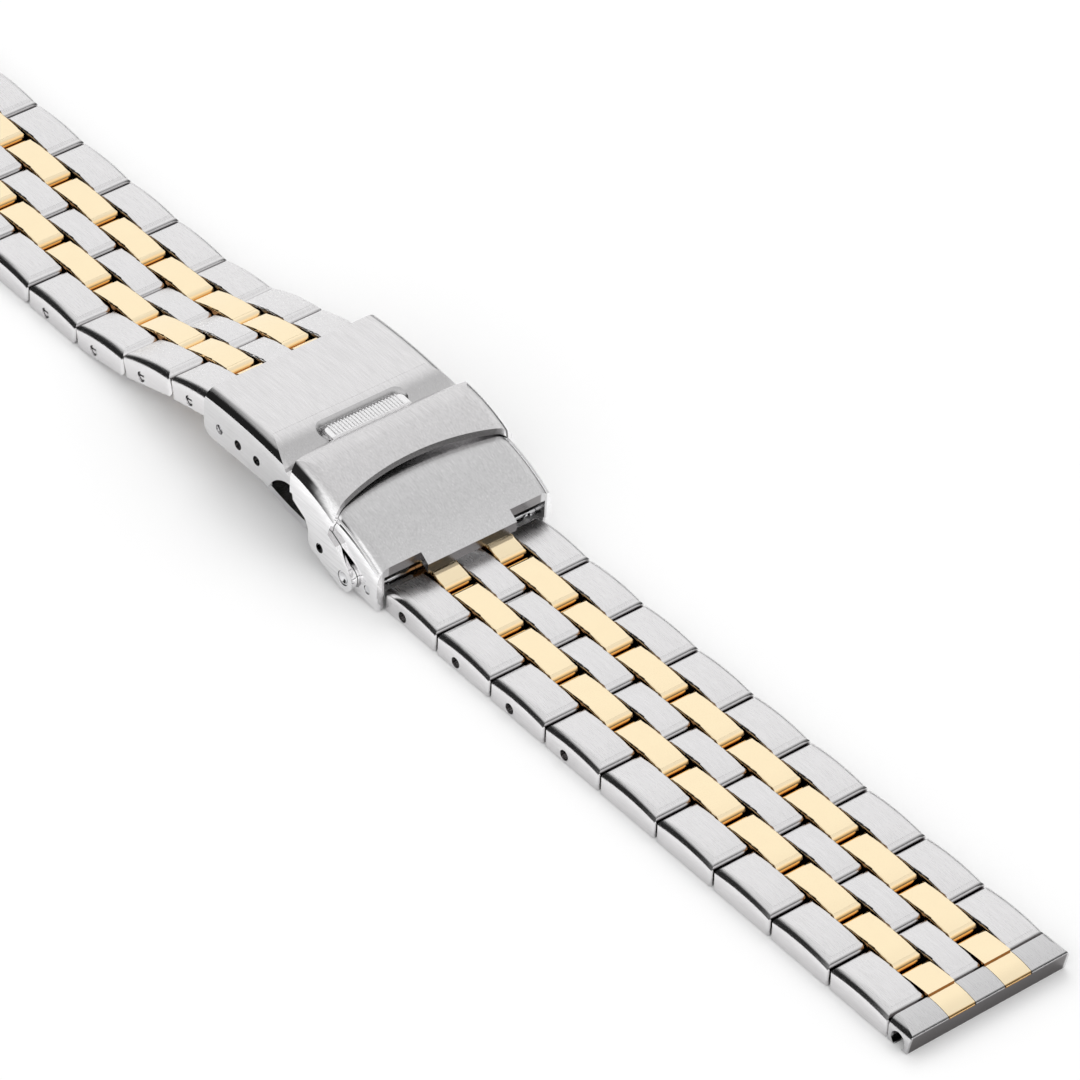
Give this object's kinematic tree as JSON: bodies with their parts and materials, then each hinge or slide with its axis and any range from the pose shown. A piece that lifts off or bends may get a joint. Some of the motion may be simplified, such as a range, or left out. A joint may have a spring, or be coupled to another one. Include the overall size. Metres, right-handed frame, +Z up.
{
  "type": "watch bracelet",
  "caption": "Two-tone five-row metal link bracelet for a wristwatch, with a folding clasp, a micro-adjusted cover, a hinged safety flap and hooked end links",
  "frame": {"origin": "on the surface the bracelet lies on, under the middle of its whole box", "axes": "+X along the bracelet towards the 6 o'clock end link, +Y across it towards the far side in the picture, +Z up from the surface towards the outside of the bracelet"},
  "size_m": [0.1858, 0.0236, 0.0107],
  "materials": {
    "steel": "brushed along the length, with polished sides",
    "gold": "polished gold-coloured metal",
    "bright_steel": "bright steel"
  },
  "bodies": {
    "clasp_base": {"end_piece": "steel", "flap_rivets": "bright_steel", "lower_blade": "bright_steel", "blade_hinge_pin": "bright_steel", "spring_bar_tube_6": "bright_steel", "spring_bar_coil_6": "bright_steel"},
    "flap": {"safety_flap": "steel"},
    "blade": {"middle_blade": "bright_steel"},
    "cover": {"clasp_cover": "steel", "cover_hinge_pin": "bright_steel", "spring_bar_tube_12": "bright_steel", "spring_bar_coil_12": "bright_steel"},
    "short_links_6": {"short_gold_links_6": "gold"},
    "steel_row_6_1": {"steel_links_6_1": "steel"},
    "gold_row_6_1": {"gold_links_6_1": "gold"},
    "steel_row_6_2": {"steel_links_6_2": "steel"},
    "gold_row_6_2": {"gold_links_6_2": "gold"},
    "steel_row_6_3": {"steel_links_6_3": "steel"},
    "gold_row_6_3": {"gold_links_6_3": "gold"},
    "steel_row_6_4": {"steel_links_6_4": "steel"},
    "gold_row_6_4": {"gold_links_6_4": "gold"},
    "steel_row_6_5": {"steel_links_6_5": "steel"},
    "gold_row_6_5": {"gold_links_6_5": "gold"},
    "steel_row_6_6": {"steel_links_6_6": "steel"},
    "gold_row_6_6": {"gold_links_6_6": "gold"},
    "steel_row_6_7": {"steel_links_6_7": "steel"},
    "gold_row_6_7": {"gold_links_6_7": "gold"},
    "steel_row_6_8": {"steel_links_6_8": "steel"},
    "gold_row_6_8": {"gold_links_6_8": "gold"},
    "steel_row_6_9": {"steel_links_6_9": "steel"},
    "end_6": {"end_link_6": "steel", "end_lugs_6": "gold"},
    "short_links_12": {"short_gold_links_12": "gold"},
    "steel_row_12_1": {"steel_links_12_1": "steel"},
    "gold_row_12_1": {"gold_links_12_1": "gold"},
    "steel_row_12_2": {"steel_links_12_2": "steel"},
    "gold_row_12_2": {"gold_links_12_2": "gold"},
    "steel_row_12_3": {"steel_links_12_3": "steel"},
    "gold_row_12_3": {"gold_links_12_3": "gold"},
    "steel_row_12_4": {"steel_links_12_4": "steel"},
    "gold_row_12_4": {"gold_links_12_4": "gold"},
    "steel_row_12_5": {"steel_links_12_5": "steel"},
    "gold_row_12_5": {"gold_links_12_5": "gold"},
    "steel_row_12_6": {"steel_links_12_6": "steel"},
    "gold_row_12_6": {"gold_links_12_6": "gold"},
    "steel_row_12_7": {"steel_links_12_7": "steel"},
    "gold_row_12_7": {"gold_links_12_7": "gold"},
    "steel_row_12_8": {"steel_links_12_8": "steel"},
    "gold_row_12_8": {"gold_links_12_8": "gold"},
    "steel_row_12_9": {"steel_links_12_9": "steel"},
    "end_12": {"end_link_12": "steel", "end_lugs_12": "gold"},
    "near_plunger_6": {"near_plunger_6": "bright_steel"},
    "far_plunger_6": {"far_plunger_6": "bright_steel"},
    "near_plunger_12": {"near_plunger_12": "bright_steel"},
    "far_plunger_12": {"far_plunger_12": "bright_steel"}
  },
  "joints": [
    {"name": "clasp_hinge", "type": "hinge", "parent": "clasp_base", "child": "blade", "pos_m": [-0.01108, 0, 0.00437], "axis": [0, -1, 0], "range_deg": [0, 75]},
    {"name": "cover_hinge", "type": "hinge", "parent": "blade", "child": "cover", "pos_m": [0.00022, 0, 0.0045], "axis": [0, -1, 0], "range_deg": [-75, 0]},
    {"name": "flap_hinge", "type": "hinge", "parent": "clasp_base", "child": "flap", "pos_m": [0.00909, 0, 0.00196], "axis": [0, 1, 0], "range_deg": [0, 97.5]},
    {"name": "bar_hinge_6", "type": "hinge", "parent": "clasp_base", "child": "short_links_6", "pos_m": [0.01182, 0, 0.00185], "axis": [0, 1, 0], "range_deg": [-5, 14]},
    {"name": "link_hinge_6_1", "type": "hinge", "parent": "short_links_6", "child": "steel_row_6_1", "pos_m": [0.01645, 0, 0.001], "axis": [0, 1, 0], "range_deg": [-1, 23.42]},
    {"name": "link_hinge_6_2", "type": "hinge", "parent": "steel_row_6_1", "child": "gold_row_6_1", "pos_m": [0.01849, 0, 0.001], "axis": [0, 1, 0], "range_deg": [-5.5, 13]},
    {"name": "link_hinge_6_3", "type": "hinge", "parent": "gold_row_6_1", "child": "steel_row_6_2", "pos_m": [0.02495, 0, 0.001], "axis": [0, 1, 0], "range_deg": [-5.5, 13]},
    {"name": "link_hinge_6_4", "type": "hinge", "parent": "steel_row_6_2", "child": "gold_row_6_2", "pos_m": [0.02699, 0, 0.001], "axis": [0, 1, 0], "range_deg": [-5.5, 13]},
    {"name": "link_hinge_6_5", "type": "hinge", "parent": "gold_row_6_2", "child": "steel_row_6_3", "pos_m": [0.03345, 0, 0.001], "axis": [0, 1, 0], "range_deg": [-5.5, 13]},
    {"name": "link_hinge_6_6", "type": "hinge", "parent": "steel_row_6_3", "child": "gold_row_6_3", "pos_m": [0.03549, 0, 0.001], "axis": [0, 1, 0], "range_deg": [-5.5, 13]},
    {"name": "link_hinge_6_7", "type": "hinge", "parent": "gold_row_6_3", "child": "steel_row_6_4", "pos_m": [0.04195, 0, 0.001], "axis": [0, 1, 0], "range_deg": [-5.5, 13]},
    {"name": "link_hinge_6_8", "type": "hinge", "parent": "steel_row_6_4", "child": "gold_row_6_4", "pos_m": [0.04399, 0, 0.001], "axis": [0, 1, 0], "range_deg": [-5.5, 13]},
    {"name": "link_hinge_6_9", "type": "hinge", "parent": "gold_row_6_4", "child": "steel_row_6_5", "pos_m": [0.05045, 0, 0.001], "axis": [0, 1, 0], "range_deg": [-5.5, 13]},
    {"name": "link_hinge_6_10", "type": "hinge", "parent": "steel_row_6_5", "child": "gold_row_6_5", "pos_m": [0.05249, 0, 0.001], "axis": [0, 1, 0], "range_deg": [-5.5, 13]},
    {"name": "link_hinge_6_11", "type": "hinge", "parent": "gold_row_6_5", "child": "steel_row_6_6", "pos_m": [0.05895, 0, 0.001], "axis": [0, 1, 0], "range_deg": [-5.5, 13]},
    {"name": "link_hinge_6_12", "type": "hinge", "parent": "steel_row_6_6", "child": "gold_row_6_6", "pos_m": [0.06099, 0, 0.001], "axis": [0, 1, 0], "range_deg": [-5.5, 13]},
    {"name": "link_hinge_6_13", "type": "hinge", "parent": "gold_row_6_6", "child": "steel_row_6_7", "pos_m": [0.06745, 0, 0.001], "axis": [0, 1, 0], "range_deg": [-5.5, 13]},
    {"name": "link_hinge_6_14", "type": "hinge", "parent": "steel_row_6_7", "child": "gold_row_6_7", "pos_m": [0.06949, 0, 0.001], "axis": [0, 1, 0], "range_deg": [-5.5, 13]},
    {"name": "link_hinge_6_15", "type": "hinge", "parent": "gold_row_6_7", "child": "steel_row_6_8", "pos_m": [0.07595, 0, 0.001], "axis": [0, 1, 0], "range_deg": [-5.5, 13]},
    {"name": "link_hinge_6_16", "type": "hinge", "parent": "steel_row_6_8", "child": "gold_row_6_8", "pos_m": [0.07799, 0, 0.001], "axis": [0, 1, 0], "range_deg": [-5.5, 13]},
    {"name": "link_hinge_6_17", "type": "hinge", "parent": "gold_row_6_8", "child": "steel_row_6_9", "pos_m": [0.08445, 0, 0.001], "axis": [0, 1, 0], "range_deg": [-5.5, 13]},
    {"name": "end_hinge_6", "type": "hinge", "parent": "steel_row_6_9", "child": "end_6", "pos_m": [0.08649, 0, 0.001], "axis": [0, 1, 0], "range_deg": [-5.5, 13]},
    {"name": "bar_hinge_12", "type": "hinge", "parent": "cover", "child": "short_links_12", "pos_m": [-0.01237, 0, 0.00665], "axis": [0, 1, 0], "range_deg": [-11.5, 10.5]},
    {"name": "link_hinge_12_1", "type": "hinge", "parent": "short_links_12", "child": "steel_row_12_1", "pos_m": [-0.01701, 0, 0.00596], "axis": [0, 1, 0], "range_deg": [-9, 9.5]},
    {"name": "link_hinge_12_2", "type": "hinge", "parent": "steel_row_12_1", "child": "gold_row_12_1", "pos_m": [-0.01901, 0, 0.00551], "axis": [0, 1, 0], "range_deg": [-11.3, 7.2]},
    {"name": "link_hinge_12_3", "type": "hinge", "parent": "gold_row_12_1", "child": "steel_row_12_2", "pos_m": [-0.02527, 0, 0.00393], "axis": [0, 1, 0], "range_deg": [-10.2, 8.3]},
    {"name": "link_hinge_12_4", "type": "hinge", "parent": "steel_row_12_2", "child": "gold_row_12_2", "pos_m": [-0.02722, 0, 0.00333], "axis": [0, 1, 0], "range_deg": [-16, 2.5]},
    {"name": "link_hinge_12_5", "type": "hinge", "parent": "gold_row_12_2", "child": "steel_row_12_3", "pos_m": [-0.03349, 0, 0.00177], "axis": [0, 1, 0], "range_deg": [-18, 0.5]},
    {"name": "link_hinge_12_6", "type": "hinge", "parent": "steel_row_12_3", "child": "gold_row_12_3", "pos_m": [-0.0355, 0, 0.00145], "axis": [0, 1, 0], "range_deg": [-18, 0.5]},
    {"name": "link_hinge_12_7", "type": "hinge", "parent": "gold_row_12_3", "child": "steel_row_12_4", "pos_m": [-0.04195, 0, 0.001], "axis": [0, 1, 0], "range_deg": [-17, 1.5]},
    {"name": "link_hinge_12_8", "type": "hinge", "parent": "steel_row_12_4", "child": "gold_row_12_4", "pos_m": [-0.04399, 0, 0.001], "axis": [0, 1, 0], "range_deg": [-13, 5.5]},
    {"name": "link_hinge_12_9", "type": "hinge", "parent": "gold_row_12_4", "child": "steel_row_12_5", "pos_m": [-0.05045, 0, 0.001], "axis": [0, 1, 0], "range_deg": [-13, 5.5]},
    {"name": "link_hinge_12_10", "type": "hinge", "parent": "steel_row_12_5", "child": "gold_row_12_5", "pos_m": [-0.05249, 0, 0.001], "axis": [0, 1, 0], "range_deg": [-13, 5.5]},
    {"name": "link_hinge_12_11", "type": "hinge", "parent": "gold_row_12_5", "child": "steel_row_12_6", "pos_m": [-0.05895, 0, 0.001], "axis": [0, 1, 0], "range_deg": [-13, 5.5]},
    {"name": "link_hinge_12_12", "type": "hinge", "parent": "steel_row_12_6", "child": "gold_row_12_6", "pos_m": [-0.06099, 0, 0.001], "axis": [0, 1, 0], "range_deg": [-13, 5.5]},
    {"name": "link_hinge_12_13", "type": "hinge", "parent": "gold_row_12_6", "child": "steel_row_12_7", "pos_m": [-0.06745, 0, 0.001], "axis": [0, 1, 0], "range_deg": [-13, 5.5]},
    {"name": "link_hinge_12_14", "type": "hinge", "parent": "steel_row_12_7", "child": "gold_row_12_7", "pos_m": [-0.06949, 0, 0.001], "axis": [0, 1, 0], "range_deg": [-13, 5.5]},
    {"name": "link_hinge_12_15", "type": "hinge", "parent": "gold_row_12_7", "child": "steel_row_12_8", "pos_m": [-0.07595, 0, 0.001], "axis": [0, 1, 0], "range_deg": [-13, 5.5]},
    {"name": "link_hinge_12_16", "type": "hinge", "parent": "steel_row_12_8", "child": "gold_row_12_8", "pos_m": [-0.07799, 0, 0.001], "axis": [0, 1, 0], "range_deg": [-13, 5.5]},
    {"name": "link_hinge_12_17", "type": "hinge", "parent": "gold_row_12_8", "child": "steel_row_12_9", "pos_m": [-0.08445, 0, 0.001], "axis": [0, 1, 0], "range_deg": [-13, 5.5]},
    {"name": "end_hinge_12", "type": "hinge", "parent": "steel_row_12_9", "child": "end_12", "pos_m": [-0.08649, 0, 0.001], "axis": [0, 1, 0], "range_deg": [-13, 5.5]},
    {"name": "near_slide_6", "type": "slide", "parent": "clasp_base", "child": "near_plunger_6", "axis": [0, 1, 0], "range_m": [0, 0.00085], "stiffness_N_per_m": 300, "deforming": ["spring_bar_coil_6"]},
    {"name": "far_slide_6", "type": "slide", "parent": "clasp_base", "child": "far_plunger_6", "axis": [0, -1, 0], "range_m": [0, 0.00085], "stiffness_N_per_m": 300, "deforming": ["spring_bar_coil_6"]},
    {"name": "near_slide_12", "type": "slide", "parent": "cover", "child": "near_plunger_12", "axis": [0, 1, 0], "range_m": [0, 0.00085], "stiffness_N_per_m": 300, "deforming": ["spring_bar_coil_12"]},
    {"name": "far_slide_12", "type": "slide", "parent": "cover", "child": "far_plunger_12", "axis": [0, -1, 0], "range_m": [0, 0.00085], "stiffness_N_per_m": 300, "deforming": ["spring_bar_coil_12"]}
  ],
  "couplings": [
    {"joint": "cover_hinge", "follows": "clasp_hinge", "ratio": -1},
    {"joint": "flap_hinge", "follows": "clasp_hinge", "ratio": 1.3}
  ]
}
